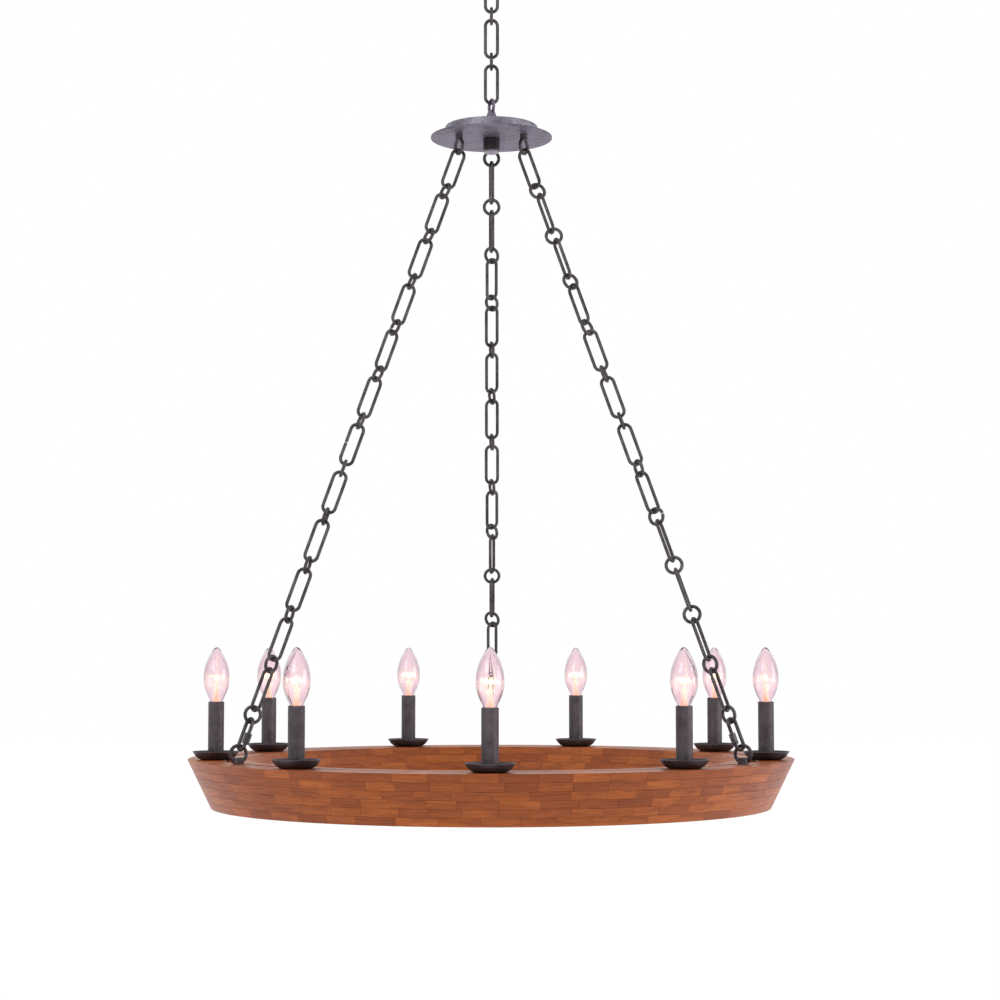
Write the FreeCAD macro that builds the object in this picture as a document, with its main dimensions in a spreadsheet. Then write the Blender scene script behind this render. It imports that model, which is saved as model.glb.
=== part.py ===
import FreeCAD, Part
import math
import os

import Sketcher
from FreeCAD import Placement, Rotation, Vector

# A wagon wheel chandelier: a tapered wooden ring with nine electric candles hangs on
# three chain legs from a small iron hub, and the hub hangs on a short chain from a
# ceiling canopy. Millimetres, +Z up, origin in the middle of the crossbar's top face.

doc = FreeCAD.newDocument("wagon_wheel_chandelier")

# ---------------------------------------------------------------- driving dimensions
SIZES = [
    ("ring_radius", 430, "wood ring, outer radius of the top face"),
    ("ring_width", 82.5, "wood ring, width of the top face"),
    ("ring_height", 68, "wood ring, height"),
    ("ring_flare", 33, "wood ring, how much smaller the bottom radius is"),
    ("candle_inset", 39, "from the ring's outer edge to the candle circle"),
    ("groove_inset", 12.2, "from the candle circle inwards to the wiring groove"),
    ("groove_width", 8, "wiring groove, width"),
    ("groove_depth", 7, "wiring groove, depth"),
    ("harness_radius", 2, "wiring harness, radius"),
    ("candle_count", 9, "number of candles"),
    ("insert_radius", 6.6, "threaded insert in the wood, outer radius"),
    ("insert_length", 18, "threaded insert, length"),
    ("nipple_radius", 4.8, "lamp nipple, radius"),
    ("nipple_bore", 2.4, "lamp nipple, radius of its bore for the wires"),
    ("thread_play", 0.05, "radial play in a threaded hole"),
    ("nut_radius", 8, "lamp nut, radius across its corners"),
    ("nut_height", 4, "lamp nut, thickness"),
    ("pan_radius", 32.5, "drip pan, rim radius"),
    ("pan_base", 17.5, "drip pan, radius of the flat base"),
    ("pan_height", 12, "drip pan, height"),
    ("pan_bend", 26.5, "drip pan, radius where its side bends up"),
    ("pan_bend_height", 5.2, "drip pan, height where its side bends up"),
    ("pan_lip", 1.9, "drip pan, width of the rolled lip"),
    ("pan_shift", 0.6, "drip pan, how far its inside is drawn in"),
    ("pan_sheet", 1.2, "drip pan, metal thickness"),
    ("sleeve_radius", 11.1, "candle sleeve, outer radius"),
    ("sleeve_wall", 0.9, "candle sleeve, wall"),
    ("sleeve_length", 79.8, "candle sleeve, length"),
    ("socket_radius", 9.2, "lamp socket, outer radius"),
    ("socket_length", 58, "lamp socket, length"),
    ("socket_recess", 6, "lamp socket, depth of its mouth below the sleeve's top"),
    ("socket_bore", 6.25, "lamp socket, radius of the screw shell"),
    ("socket_depth", 24, "lamp socket, depth of the screw shell"),
    ("nipple_engage", 9, "length of nipple inside the socket"),
    ("cap_radius", 5.95, "bulb, radius of the screw cap"),
    ("cap_length", 23.6, "bulb, length of the screw cap"),
    ("bulb_radius", 18.2, "bulb, largest radius of the glass"),
    ("bulb_height", 76, "bulb, height of the glass above the sleeve"),
    ("bulb_neck", 7.8, "bulb, radius of the glass at the sleeve's top"),
    ("glass_wall", 0.8, "bulb, glass thickness"),
    ("stem_radius", 2.4, "bulb, radius of the glass stem"),
    ("stem_height", 16.5, "bulb, height of the stem's top above the sleeve"),
    ("filament_height", 33, "bulb, height of the filament above the sleeve"),
    ("filament_reach", 7, "bulb, half length of the filament"),
    ("lead_radius", 0.5, "bulb, radius of the filament and its leads"),
    ("chain_wire", 4.7, "chain, wire diameter"),
    ("chain_width", 22.3, "chain, outer width of a long link"),
    ("chain_ring", 26.6, "chain, outer diameter of a round link"),
    ("link_seam", 0.5, "chain, gap at a link's butt joint"),
    ("open_seam", 1.6, "chain, gap of a butt joint that has sprung open"),
    ("leg_link", 65.3, "leg chain, outer length of a long link"),
    ("leg_links", 12, "leg chain, number of long links"),
    ("link_play", 0.15, "leg chain, play between neighbouring links"),
    ("hang_link", 60.4, "hanging chain, outer length of a long link"),
    ("joint_play", 0.3, "play at each joint between moving pieces"),
    ("quick_length", 49, "quick link, outer length"),
    ("quick_width", 18, "quick link, outer width"),
    ("quick_wire", 5, "quick link, wire diameter"),
    ("quick_gap", 4, "quick link, gap under its nut"),
    ("quick_nut", 15, "quick link nut, length"),
    ("quick_nut_rise", 2.4, "quick link nut, height of its end above the link's bend"),
    ("quick_hex", 4.9, "quick link nut, radius across its corners"),
    ("nut_play", 0.1, "quick link nut, radial play on the wire"),
    ("eye_wire", 4.8, "eye bolts, wire diameter"),
    ("ring_eye", 27.6, "eye bolt on the ring, outer diameter"),
    ("ring_eye_rise", 13.9, "eye bolt on the ring, height of the eye's centre"),
    ("ring_collar", 7.5, "eye bolt on the ring, collar radius"),
    ("collar_height", 9, "eye bolt on the ring, collar height"),
    ("shank_radius", 4, "eye bolts, shank radius"),
    ("ring_shank", 45, "eye bolt on the ring, length of the shank in the wood"),
    ("hub_eye", 26, "eye bolt on the hub, outer diameter"),
    ("hub_eye_drop", 17.4, "eye bolt on the hub, depth of the eye's centre"),
    ("hub_eye_circle", 54, "radius of the circle of the hub's eye bolts"),
    ("hub_collar", 5.3, "eye bolt on the hub, collar radius"),
    ("hub_nut", 5, "nut on the hub's eye bolts, thickness"),
    ("plate_radius", 88.3, "hub plate, radius"),
    ("plate_sheet", 2.5, "hub plate, thickness"),
    ("cover_radius", 67.3, "hub cover, radius"),
    ("cover_height", 15.2, "hub cover, height"),
    ("cover_sheet", 1.5, "hub cover and canopy, metal thickness"),
    ("finial_radius", 12, "hub finial, radius"),
    ("finial_length", 22.5, "hub finial, length"),
    ("finial_round", 5, "hub finial, radius of the rounded end"),
    ("finial_soft", 1.5, "hub finial, cut of the rounded end's corner"),
    ("finial_bore", 12, "hub finial, depth of its threaded hole"),
    ("loop_eye", 24, "hub loop, outer diameter of the eye"),
    ("loop_wire", 4.6, "hub loop, wire diameter"),
    ("loop_rise", 30, "hub loop, height of the eye's centre on the cover"),
    ("loop_foot", 11, "hub loop, radius of the foot"),
    ("loop_waist", 7.3, "hub loop, radius under the dome"),
    ("loop_body", 16, "hub loop, height of the foot"),
    ("loop_dome", 24, "hub loop, height of the dome's top"),
    ("loop_turn", 20, "hub loop, angle of the eye about the vertical, degrees"),
    ("loop_bore", 11, "loops, depth of the threaded hole"),
    ("canopy_radius", 66, "ceiling canopy, radius"),
    ("canopy_face", 34, "ceiling canopy, radius of the flat bottom"),
    ("canopy_depth", 28, "ceiling canopy, depth"),
    ("canopy_shoulder", 59, "ceiling canopy, radius at its shoulder"),
    ("shoulder_depth", 15.4, "ceiling canopy, depth of its shoulder"),
    ("canopy_eye", 26, "canopy loop, outer diameter of the eye"),
    ("canopy_wire", 5, "canopy loop, wire diameter"),
    ("canopy_drop", 20, "canopy loop, depth of the eye's centre under the canopy"),
    ("spigot_radius", 7, "canopy loop, radius of the threaded spigot"),
    ("spigot_rise", 10, "canopy loop, length of the spigot above the canopy's bottom"),
    ("spigot_drop", 11, "canopy loop, length of the spigot under the canopy's bottom"),
    ("collar_radius", 13, "collar nut under the canopy, radius"),
    ("collar_nut", 6, "collar nut under the canopy, height"),
    ("bar_length", 108, "crossbar, length"),
    ("bar_width", 20, "crossbar, width"),
    ("bar_sheet", 2.5, "crossbar, thickness"),
    ("slot_spacing", 88.9, "crossbar, distance between the two slots"),
    ("slot_length", 12, "crossbar, slot length"),
    ("slot_width", 5, "crossbar, slot width"),
]

sheet = doc.addObject("Spreadsheet::Sheet", "dims")
for row, (alias, number, note) in enumerate(SIZES, start=1):
    sheet.set(f"A{row}", alias)
    sheet.set(f"B{row}", str(number))
    sheet.set(f"C{row}", note)
    sheet.setAlias(f"B{row}", alias)
doc.recompute()


class Size:
    """A length in millimetres together with the sheet expression that gives it."""

    def __init__(self, number, text):
        self.number = number
        self.text = text

    def joined(self, other, sign, number):
        text = other.text if isinstance(other, Size) else repr(float(other))
        return Size(number, f"({self.text} {sign} {text})")

    def __add__(self, other):
        return self.joined(other, "+", self.number + plain(other))

    def __sub__(self, other):
        return self.joined(other, "-", self.number - plain(other))

    def __mul__(self, other):
        return self.joined(other, "*", self.number * plain(other))

    def __truediv__(self, other):
        return self.joined(other, "/", self.number / plain(other))

    def __neg__(self):
        return Size(-self.number, f"(0 - {self.text})")


def plain(size):
    """The number behind a size."""
    return size.number if isinstance(size, Size) else float(size)


def root(size):
    """The square root of a size."""
    return Size(math.sqrt(size.number), f"sqrt({size.text})")


def dim(alias):
    """A driving dimension from the sheet."""
    return Size(float(sheet.get(alias)), f"dims.{alias}")


ZERO = Size(0.0, "0")
candle_circle = dim("ring_radius") - dim("candle_inset")
CANDLES = int(sheet.get("candle_count"))
LEG_LINKS = int(sheet.get("leg_links"))

# ---------------------------------------------------------------- heights, from the ceiling down
canopy_eye_z = -(dim("canopy_depth") + dim("canopy_drop"))
chain_start = canopy_eye_z - (dim("canopy_eye") - dim("canopy_wire")) / 2
hang_pitch = dim("chain_wire") + dim("joint_play")

link_spine = dim("hang_link") - dim("chain_wire")
ring_spine = dim("chain_ring") - dim("chain_wire")
first_top = chain_start + (dim("canopy_wire") + dim("chain_wire")) / 2 + dim("joint_play")
hanging = []
top = first_top
for kind in ("link", "ring", "link", "ring", "link"):
    spine = link_spine if kind == "link" else ring_spine
    hanging.append((kind, top - spine / 2))
    top = top - spine + hang_pitch
last_bottom = top - hang_pitch
loop_top = last_bottom + (dim("loop_wire") + dim("chain_wire")) / 2 + dim("joint_play")
loop_eye_z = loop_top - (dim("loop_eye") - dim("loop_wire")) / 2
cover_top = loop_eye_z - dim("loop_rise")
plate_top = cover_top - dim("cover_height")
plate_under = plate_top - dim("plate_sheet")
hub_eye_z = plate_under - dim("hub_eye_drop")
leg_top = hub_eye_z - (dim("hub_eye") - dim("eye_wire")) / 2

# the strand of one leg, from the hub eye's lowest wire to the ring eye's wire
leg_spine = dim("leg_link") - dim("chain_wire")
quick_spine = dim("quick_length") - dim("quick_wire")
leg_step = dim("chain_wire") + dim("link_play")
first_step = (dim("eye_wire") + dim("chain_wire")) / 2 + dim("joint_play")
quick_step = (dim("quick_wire") + dim("chain_wire")) / 2 + dim("link_play")
last_step = (dim("quick_wire") + dim("eye_wire")) / 2 + dim("joint_play")
strand = (
    (leg_spine + ring_spine) * LEG_LINKS
    - leg_step * (2 * LEG_LINKS - 1)
    - first_step
    - quick_step
    + quick_spine
    - last_step
)
# the leg pulls along a line through the middle of the ring's eye
leg_length = strand + (dim("ring_eye") - dim("eye_wire")) / 2
leg_reach = candle_circle - dim("hub_eye_circle")
leg_fall = root(leg_length * leg_length - leg_reach * leg_reach)
ring_eye_z = leg_top - leg_fall
wood_top = ring_eye_z - dim("ring_eye_rise")
wood_bottom = wood_top - dim("ring_height")

parts = []


# ---------------------------------------------------------------- building helpers
def bind(obj, **sizes):
    """Binds properties of an object to sizes; double underscores stand for dots."""
    for name, size in sizes.items():
        path = name.replace("__", ".")
        if "." not in path:
            setattr(obj, path, plain(size))
        obj.setExpression(path, size.text)
    return obj


def keep(obj, label):
    """Marks an object as a piece of the chandelier and names it."""
    obj.Label = label
    parts.append(obj)
    return obj


def move(obj, x=ZERO, y=ZERO, z=ZERO):
    """Places an object's origin, bound to the sheet."""
    return bind(obj, Placement__Base__x=x, Placement__Base__y=y, Placement__Base__z=z)


def cylinder(name, radius, height, x=ZERO, y=ZERO, z=ZERO):
    """An upright cylinder on its lower face's centre."""
    obj = bind(doc.addObject("Part::Cylinder", name), Radius=radius, Height=height)
    return move(obj, x, y, z)


def prism(name, corner_radius, height, x=ZERO, y=ZERO, z=ZERO):
    """An upright hexagonal bar on its lower face's centre."""
    obj = doc.addObject("Part::Prism", name)
    obj.Polygon = 6
    bind(obj, Circumradius=corner_radius, Height=height)
    return move(obj, x, y, z)


def cone(name, low_radius, high_radius, height, z=ZERO):
    """An upright cone frustum on the vertical axis."""
    obj = doc.addObject("Part::Cone", name)
    bind(obj, Radius1=low_radius, Radius2=high_radius, Height=height)
    return move(obj, z=z)


def eye(name, outer, wire, x, y, z, facing):
    """A round wire eye; facing is the angle of its hole's axis about the vertical."""
    obj = doc.addObject("Part::Torus", name)
    bind(obj, Radius1=(outer - wire) / 2, Radius2=wire / 2)
    hole_axis = Vector(math.cos(math.radians(facing)), math.sin(math.radians(facing)), 0)
    obj.Placement = Placement(Vector(), Rotation(Vector(0, 0, 1), hole_axis))
    return move(obj, x, y, z)


def cut(name, base, tool):
    """The base with the tool taken away."""
    obj = doc.addObject("Part::Cut", name)
    obj.Base = base
    obj.Tool = tool
    return obj


def fuse(name, shapes):
    """Several shapes joined to one solid."""
    obj = doc.addObject("Part::MultiFuse", name)
    obj.Shapes = shapes
    return obj


def group(name, members):
    """Separate solids of one kind, kept together."""
    obj = doc.addObject("Part::Compound", name)
    obj.Links = members
    return obj


def origin_plane(body, role):
    """One of a body's own reference planes or axes."""
    return next(f for f in body.Origin.OriginFeatures if f.Role == role)


def draw_profile(body, name, corners, away=ZERO):
    """A closed outline in the body's upright plane: (distance from the axis, height) pairs.

    away moves the turning axis along Y.
    """
    sketch = body.newObject("Sketcher::SketchObject", name)
    sketch.AttachmentSupport = [(origin_plane(body, "YZ_Plane"), "")]
    sketch.MapMode = "FlatFace"
    bind(sketch, AttachmentOffset__Base__x=away)
    points = [Vector(plain(x), plain(y), 0) for x, y in corners]
    for start, end in zip(points, points[1:] + points[:1]):
        sketch.addGeometry(Part.LineSegment(start, end), False)
    last = len(points) - 1
    for i in range(len(points)):
        sketch.addConstraint(Sketcher.Constraint("Coincident", i, 2, 0 if i == last else i + 1, 1))
    for i, (x, y) in enumerate(corners):
        for way, size in (("X", x), ("Y", y)):
            constraint = Sketcher.Constraint(f"Distance{way}", -1, 1, i, 1, plain(size))
            index = sketch.addConstraint(constraint)
            sketch.setExpression(f"Constraints[{index}]", size.text)
    return sketch


def turned(label, corners, away=ZERO, copies=1, z=ZERO):
    """A piece turned about an upright axis, and repeated round the vertical axis."""
    body = doc.addObject("PartDesign::Body", label)
    sketch = draw_profile(body, label + "_profile", corners, away)
    doc.recompute()
    turn = body.newObject("PartDesign::Revolution", label + "_turning")
    turn.Profile = sketch
    turn.ReferenceAxis = (sketch, ["V_Axis"])
    turn.Angle = 360
    body.Tip = turn
    if copies > 1:
        pattern = body.newObject("PartDesign::PolarPattern", label + "_circle")
        pattern.Originals = [turn]
        pattern.Axis = (origin_plane(body, "Z_Axis"), [""])
        pattern.Angle = 360
        pattern.Occurrences = copies
        body.Tip = pattern
    move(body, z=z)
    return body


def tube_profile(inner, outer, low, high):
    """The outline of a plain turned tube."""
    return [(inner, low), (outer, low), (outer, high), (inner, high)]


# ---------------------------------------------------------------- ceiling fitting
bar = doc.addObject("Part::Box", "bar_blank")
bind(bar, Length=dim("bar_length"), Width=dim("bar_width"), Height=dim("bar_sheet"))
move(bar, -dim("bar_length") / 2, -dim("bar_width") / 2, -dim("bar_sheet"))
bar_holes = [
    cylinder(
        "bar_thread",
        dim("nipple_radius") + dim("thread_play"),
        dim("bar_sheet"),
        z=-dim("bar_sheet"),
    )
]
slot_reach = (dim("slot_length") - dim("slot_width")) / 2
for side in (-1, 1):
    middle = dim("slot_spacing") / 2 * side
    ends = [
        cylinder(f"slot_end_{side}_{end}", dim("slot_width") / 2, dim("bar_sheet"),
                 x=middle + slot_reach * end, z=-dim("bar_sheet"))
        for end in (-1, 1)
    ]
    waist = doc.addObject("Part::Box", f"slot_waist_{side}")
    bind(waist, Length=slot_reach * 2, Width=dim("slot_width"), Height=dim("bar_sheet"))
    move(waist, middle - slot_reach, -dim("slot_width") / 2, -dim("bar_sheet"))
    bar_holes += [*ends, waist]
keep(cut("bar", bar, fuse("bar_openings", bar_holes)), "crossbar")

under = -dim("canopy_depth")
spun = dim("cover_sheet")
keep(
    turned(
        "ceiling_canopy",
        [
            (dim("spigot_radius") + dim("joint_play"), under),
            (dim("canopy_face"), under),
            (dim("canopy_shoulder"), -dim("shoulder_depth")),
            (dim("canopy_radius"), ZERO),
            (dim("canopy_radius") - spun, ZERO),
            (dim("canopy_shoulder") - spun, spun / 2 - dim("shoulder_depth")),
            (dim("canopy_face") - spun / 2, under + spun),
            (dim("spigot_radius") + dim("joint_play"), under + spun),
        ],
    ),
    "ceiling_canopy",
)

spigot_top = under + dim("spigot_rise")
threaded = dim("nipple_radius") + dim("thread_play")
spigot = cylinder(
    "spigot", dim("spigot_radius"), dim("spigot_rise") + dim("spigot_drop"), z=under - dim("spigot_drop")
)
canopy_eye = eye("canopy_eye_wire", dim("canopy_eye"), dim("canopy_wire"), ZERO, ZERO, canopy_eye_z, 0)
spigot_hole = cylinder("spigot_hole", threaded, dim("loop_bore"), z=spigot_top - dim("loop_bore"))
loop_blank = cut("canopy_loop_drilled", spigot, spigot_hole)
keep(fuse("canopy_loop_body", [loop_blank, canopy_eye]), "canopy_loop")

keep(
    turned(
        "collar_nut",
        tube_profile(
            dim("spigot_radius") + dim("thread_play"),
            dim("collar_radius"),
            under - dim("collar_nut"),
            under,
        ),
    ),
    "canopy_collar_nut",
)
nipple_foot = spigot_top - dim("loop_bore") + dim("joint_play")
keep(
    cylinder("top_nipple", dim("nipple_radius"), -nipple_foot - dim("joint_play"), z=nipple_foot),
    "canopy_nipple",
)


def lamp_nut(name, z, x=ZERO, y=ZERO):
    """A hexagonal lamp nut with its lower face at z."""
    blank = prism(name + "_blank", dim("nut_radius"), dim("nut_height"), x, y, z)
    hole = cylinder(name + "_thread", threaded, dim("nut_height"), x, y, z)
    return cut(name, blank, hole)


keep(lamp_nut("bar_nut", -dim("bar_sheet") - dim("nut_height")), "crossbar_nut")


# ---------------------------------------------------------------- chain links
def oval_link(label, length, width, wire):
    """A wire link standing upright in the XZ plane: a round section swept round an oval."""
    body = doc.addObject("PartDesign::Body", label)
    path = body.newObject("Sketcher::SketchObject", label + "_path")
    path.AttachmentSupport = [(origin_plane(body, "XZ_Plane"), "")]
    path.MapMode = "FlatFace"
    radius = (width - wire) / 2
    reach = (length - width) / 2
    r, h = plain(radius), plain(reach)
    up, right = Vector(0, h, 0), Vector(r, 0, 0)
    axis = Vector(0, 0, 1)
    path.addGeometry(Part.LineSegment(right - up, right + up), False)
    path.addGeometry(Part.ArcOfCircle(Part.Circle(up, axis, r), 0, math.pi), False)
    path.addGeometry(Part.LineSegment(up - right, -right - up), False)
    path.addGeometry(Part.ArcOfCircle(Part.Circle(-up, axis, r), math.pi, 2 * math.pi), False)
    for first, first_end, second, second_end in ((0, 2, 1, 1), (1, 2, 2, 1), (2, 2, 3, 1), (3, 2, 0, 1)):
        path.addConstraint(Sketcher.Constraint("Tangent", first, first_end, second, second_end))
    for arc, height in ((1, reach), (3, -reach)):
        path.addConstraint(Sketcher.Constraint("PointOnObject", arc, 3, -2))
        index = path.addConstraint(Sketcher.Constraint("DistanceY", -1, 1, arc, 3, plain(height)))
        path.setExpression(f"Constraints[{index}]", height.text)
    index = path.addConstraint(Sketcher.Constraint("Radius", 1, r))
    path.setExpression(f"Constraints[{index}]", radius.text)
    section = body.newObject("Sketcher::SketchObject", label + "_section")
    section.AttachmentSupport = [(origin_plane(body, "XY_Plane"), "")]
    section.MapMode = "FlatFace"
    section.addGeometry(Part.Circle(right, axis, plain(wire) / 2), False)
    section.addConstraint(Sketcher.Constraint("PointOnObject", 0, 3, -1))
    for kind, where, size in (("DistanceX", (-1, 1, 0, 3), radius), ("Diameter", (0,), wire)):
        index = section.addConstraint(Sketcher.Constraint(kind, *where, plain(size)))
        section.setExpression(f"Constraints[{index}]", size.text)
    doc.recompute()
    pipe = body.newObject("PartDesign::AdditivePipe", label + "_bend")
    pipe.Profile = section
    pipe.Spine = path
    body.Tip = pipe
    return body


def seamed(label, link, width, gap):
    """A link with the gap of its butt joint on its side at +X."""
    reach = dim("chain_wire") * 2
    blank = bind(doc.addObject("Part::Box", label + "_gap"), Length=reach, Width=reach, Height=gap)
    wire_middle = (width - dim("chain_wire")) / 2
    move(blank, wire_middle - dim("chain_wire"), -dim("chain_wire"), -gap / 2)
    return cut(label, link, blank)


def long_link(label, length, gap):
    """A long chain link standing upright in the XZ plane."""
    wire = oval_link(label + "_wire", length, dim("chain_width"), dim("chain_wire"))
    return seamed(label, wire, dim("chain_width"), gap)


def round_link(label, gap):
    """A round chain link standing upright in the XZ plane."""
    wire = eye(label + "_wire", dim("chain_ring"), dim("chain_wire"), ZERO, ZERO, ZERO, 90)
    return seamed(label, wire, dim("chain_ring"), gap)


HANGING_NAMES = [
    "chain_link_top", "chain_ring_top", "chain_link_middle", "chain_ring_bottom", "chain_link_bottom",
]
CROSSWISE = Rotation(Vector(0, 0, 1), 90)
for name, (kind, height) in zip(HANGING_NAMES, hanging):
    if kind == "link":
        piece = long_link(name, dim("hang_link"), dim("link_seam"))
    else:
        piece = round_link(name, dim("link_seam"))
        piece.Placement = Placement(Vector(), CROSSWISE)
    keep(move(piece, z=height), name)

# ---------------------------------------------------------------- hub
loop_foot = cone("loop_foot", dim("loop_foot"), dim("loop_waist"), dim("loop_body"), cover_top)
loop_neck = cone(
    "loop_neck", dim("loop_waist"), dim("loop_wire"), dim("loop_dome") - dim("loop_body"),
    cover_top + dim("loop_body"),
)
loop_ring = eye(
    "loop_ring", dim("loop_eye"), dim("loop_wire"), ZERO, ZERO, loop_eye_z, float(sheet.get("loop_turn"))
)
loop_hole = cylinder("loop_hole", threaded, dim("loop_bore"), z=cover_top)
loop_solid = fuse("loop_solid", [loop_foot, loop_neck, loop_ring])
keep(cut("hub_loop_body", loop_solid, loop_hole), "hub_loop")

cover = dim("cover_radius")
keep(
    turned(
        "hub_cover",
        [
            (threaded, dim("cover_height") - spun),
            (cover - spun, dim("cover_height") - spun),
            (cover - spun, ZERO),
            (cover, ZERO),
            (cover, dim("cover_height") - spun),
            (cover - spun, dim("cover_height")),
            (threaded, dim("cover_height")),
        ],
        z=plate_top,
    ),
    "hub_cover",
)


def round_places(radius, azimuths):
    """Points on a circle; an azimuth of 0 is at the front, -Y, and 90 is at +X."""
    for azimuth in azimuths:
        angle = math.radians(azimuth)
        yield azimuth, radius * math.sin(angle), radius * -math.cos(angle)


LEGS = {"left": -60, "right": 60, "back": 180}
plate_holes = [cylinder("plate_centre", threaded, dim("plate_sheet"), z=plate_under)]
for azimuth, x, y in round_places(dim("hub_eye_circle"), LEGS.values()):
    plate_holes.append(
        cylinder(
            f"plate_hole_{azimuth}", dim("shank_radius") + dim("thread_play"),
            dim("plate_sheet"), x, y, plate_under,
        )
    )
plate = cylinder("plate_blank", dim("plate_radius"), dim("plate_sheet"), z=plate_under)
keep(cut("plate", plate, fuse("plate_holes", plate_holes)), "hub_plate")

stud_low = plate_under - dim("finial_bore") + dim("joint_play")
stud_high = cover_top + dim("loop_bore") - dim("joint_play")
keep(cylinder("hub_stud", dim("nipple_radius"), stud_high - stud_low, z=stud_low), "hub_nipple")
finial_low = -dim("finial_length")
finial_edge = dim("finial_radius")
finial_body = turned(
    "hub_finial",
    [
        (ZERO, finial_low),
        (finial_edge - dim("finial_round"), finial_low),
        (finial_edge - dim("finial_soft"), finial_low + dim("finial_soft")),
        (finial_edge, finial_low + dim("finial_round")),
        (finial_edge, ZERO),
        (threaded, ZERO),
        (threaded, -dim("finial_bore")),
        (ZERO, -dim("finial_bore")),
    ],
    z=plate_under,
)
keep(finial_body, "hub_finial")

hub_eyes, hub_nuts = [], []
shank_top = plate_top + dim("hub_nut")
eye_inner = dim("hub_eye") / 2 - dim("eye_wire") / 2
for azimuth, x, y in round_places(dim("hub_eye_circle"), LEGS.values()):
    wire = eye(
        f"hub_eye_wire_{azimuth}", dim("hub_eye"), dim("eye_wire"), x, y, hub_eye_z, azimuth - 90
    )
    collar_low = hub_eye_z + eye_inner
    collar = cylinder(f"hub_collar_{azimuth}", dim("hub_collar"), plate_under - collar_low, x, y, collar_low)
    shank = cylinder(f"hub_shank_{azimuth}", dim("shank_radius"), shank_top - collar_low, x, y, collar_low)
    hub_eyes.append(fuse(f"hub_eye_{azimuth}", [wire, collar, shank]))
    blank = prism(f"hub_nut_blank_{azimuth}", dim("nut_radius"), dim("hub_nut"), x, y, plate_top)
    hole = cylinder(
        f"hub_nut_thread_{azimuth}", dim("shank_radius") + dim("thread_play"), dim("hub_nut"), x, y, plate_top
    )
    hub_nuts.append(cut(f"hub_nut_{azimuth}", blank, hole))
keep(group("hub_eye_group", hub_eyes), "hub_eyes")
keep(group("hub_nut_group", hub_nuts), "hub_eye_nuts")

# ---------------------------------------------------------------- chain legs
# How far each link of a leg is turned about the leg, degrees, from the hub down. The first
# list holds the long links and the second the round ones: a hanging chain twists unevenly.
LINK_TURNS = {
    "left": [70, 79, 242, 84, 97, 259, 247, 62, 59, 242, 39, 14],
    "right": [-95, -132, -132, -110, -67, 118, -54, -33, 186, 17, 2, -1],
    "back": [79, 258, 39, 22, 205, 18, 180, 31, 72, 78, 225, 30],
}
RING_TURNS = {
    "left": [2, 1, -7, 182, 4, -9, -22, -34, -37, -46, -65, -93],
    "right": [-35, 123, -27, -9, 13, 21, 50, 262, 113, 108, 78, 70],
    "back": [0, -33, -41, -78, -70, -80, -73, -46, 0, -26, -50, -80],
}
QUICK_TURNS = {"left": 13, "right": -26, "back": 8}
NUT_SIDES = {"left": 1, "right": -1, "back": 1}
# the links whose butt joint has sprung open, counted from the hub
OPEN_LINKS = {"left": [6], "right": [], "back": []}
OPEN_RINGS = {"left": [3], "right": [1, 7], "back": []}


class Strand:
    """The straight line of one leg, and places along it."""

    def __init__(self, azimuth):
        angle = math.radians(azimuth)
        out = Vector(math.sin(angle), -math.cos(angle), 0)
        self.side = Vector(math.cos(angle), math.sin(angle), 0)
        start = out * plain(dim("hub_eye_circle")) + Vector(0, 0, plain(leg_top))
        end = out * plain(candle_circle) + Vector(0, 0, plain(ring_eye_z))
        self.start = start
        self.down = (end - start).normalize()
        self.normal = self.side.cross(self.down)

    def place(self, distance, turn):
        """The place of an upright link whose middle is this far down the strand."""
        angle = math.radians(turn)
        across = self.side * math.cos(angle) + self.normal * math.sin(angle)
        up = -self.down
        turned_to = Rotation(across, up.cross(across), up, "ZXY")
        return Placement(self.start + self.down * distance, turned_to)


def placed(pattern, places, opened=None, open_ones=()):
    """Copies of a pattern's shape as separate solids, some of them of an opened pattern."""
    copies = []
    for index, place in enumerate(places):
        source = opened if index in open_ones else pattern
        copy = source.Shape.copy()
        copy.Placement = place.multiply(source.Shape.Placement)
        copies.append(copy)
    return Part.makeCompound(copies) if len(copies) > 1 else copies[0]


def feature(label, shape):
    """A piece whose shape has no sketch or primitive of its own."""
    obj = doc.addObject("Part::Feature", label)
    obj.Shape = shape
    return keep(obj, label)


leg_link_pattern = long_link("leg_link_pattern", dim("leg_link"), dim("link_seam"))
leg_link_opened = long_link("leg_link_opened", dim("leg_link"), dim("open_seam"))
leg_ring_pattern = round_link("leg_ring_pattern", dim("link_seam"))
leg_ring_opened = round_link("leg_ring_opened", dim("open_seam"))
quick_oval = oval_link("quick_oval", dim("quick_length"), dim("quick_width"), dim("quick_wire"))
quick_side = (dim("quick_width") - dim("quick_wire")) / 2
nut_low = dim("quick_nut_rise") - (dim("quick_length") - dim("quick_width")) / 2
gap_blank = doc.addObject("Part::Box", "quick_gap_blank")
bind(gap_blank, Length=dim("quick_wire") * 2, Width=dim("quick_wire") * 2, Height=dim("quick_gap"))
gap_low = nut_low + dim("quick_nut") / 2 - dim("quick_gap") / 2
move(gap_blank, quick_side - dim("quick_wire"), -dim("quick_wire"), gap_low)
quick_pattern = cut("quick_link_pattern", quick_oval, gap_blank)
nut_blank = prism("quick_nut_blank", dim("quick_hex"), dim("quick_nut"), quick_side, ZERO, nut_low)
nut_bore = cylinder(
    "quick_nut_bore", dim("quick_wire") / 2 + dim("nut_play"), dim("quick_nut"), quick_side, ZERO, nut_low
)
quick_nut_pattern = cut("quick_nut_pattern", nut_blank, nut_bore)
doc.recompute()

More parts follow.
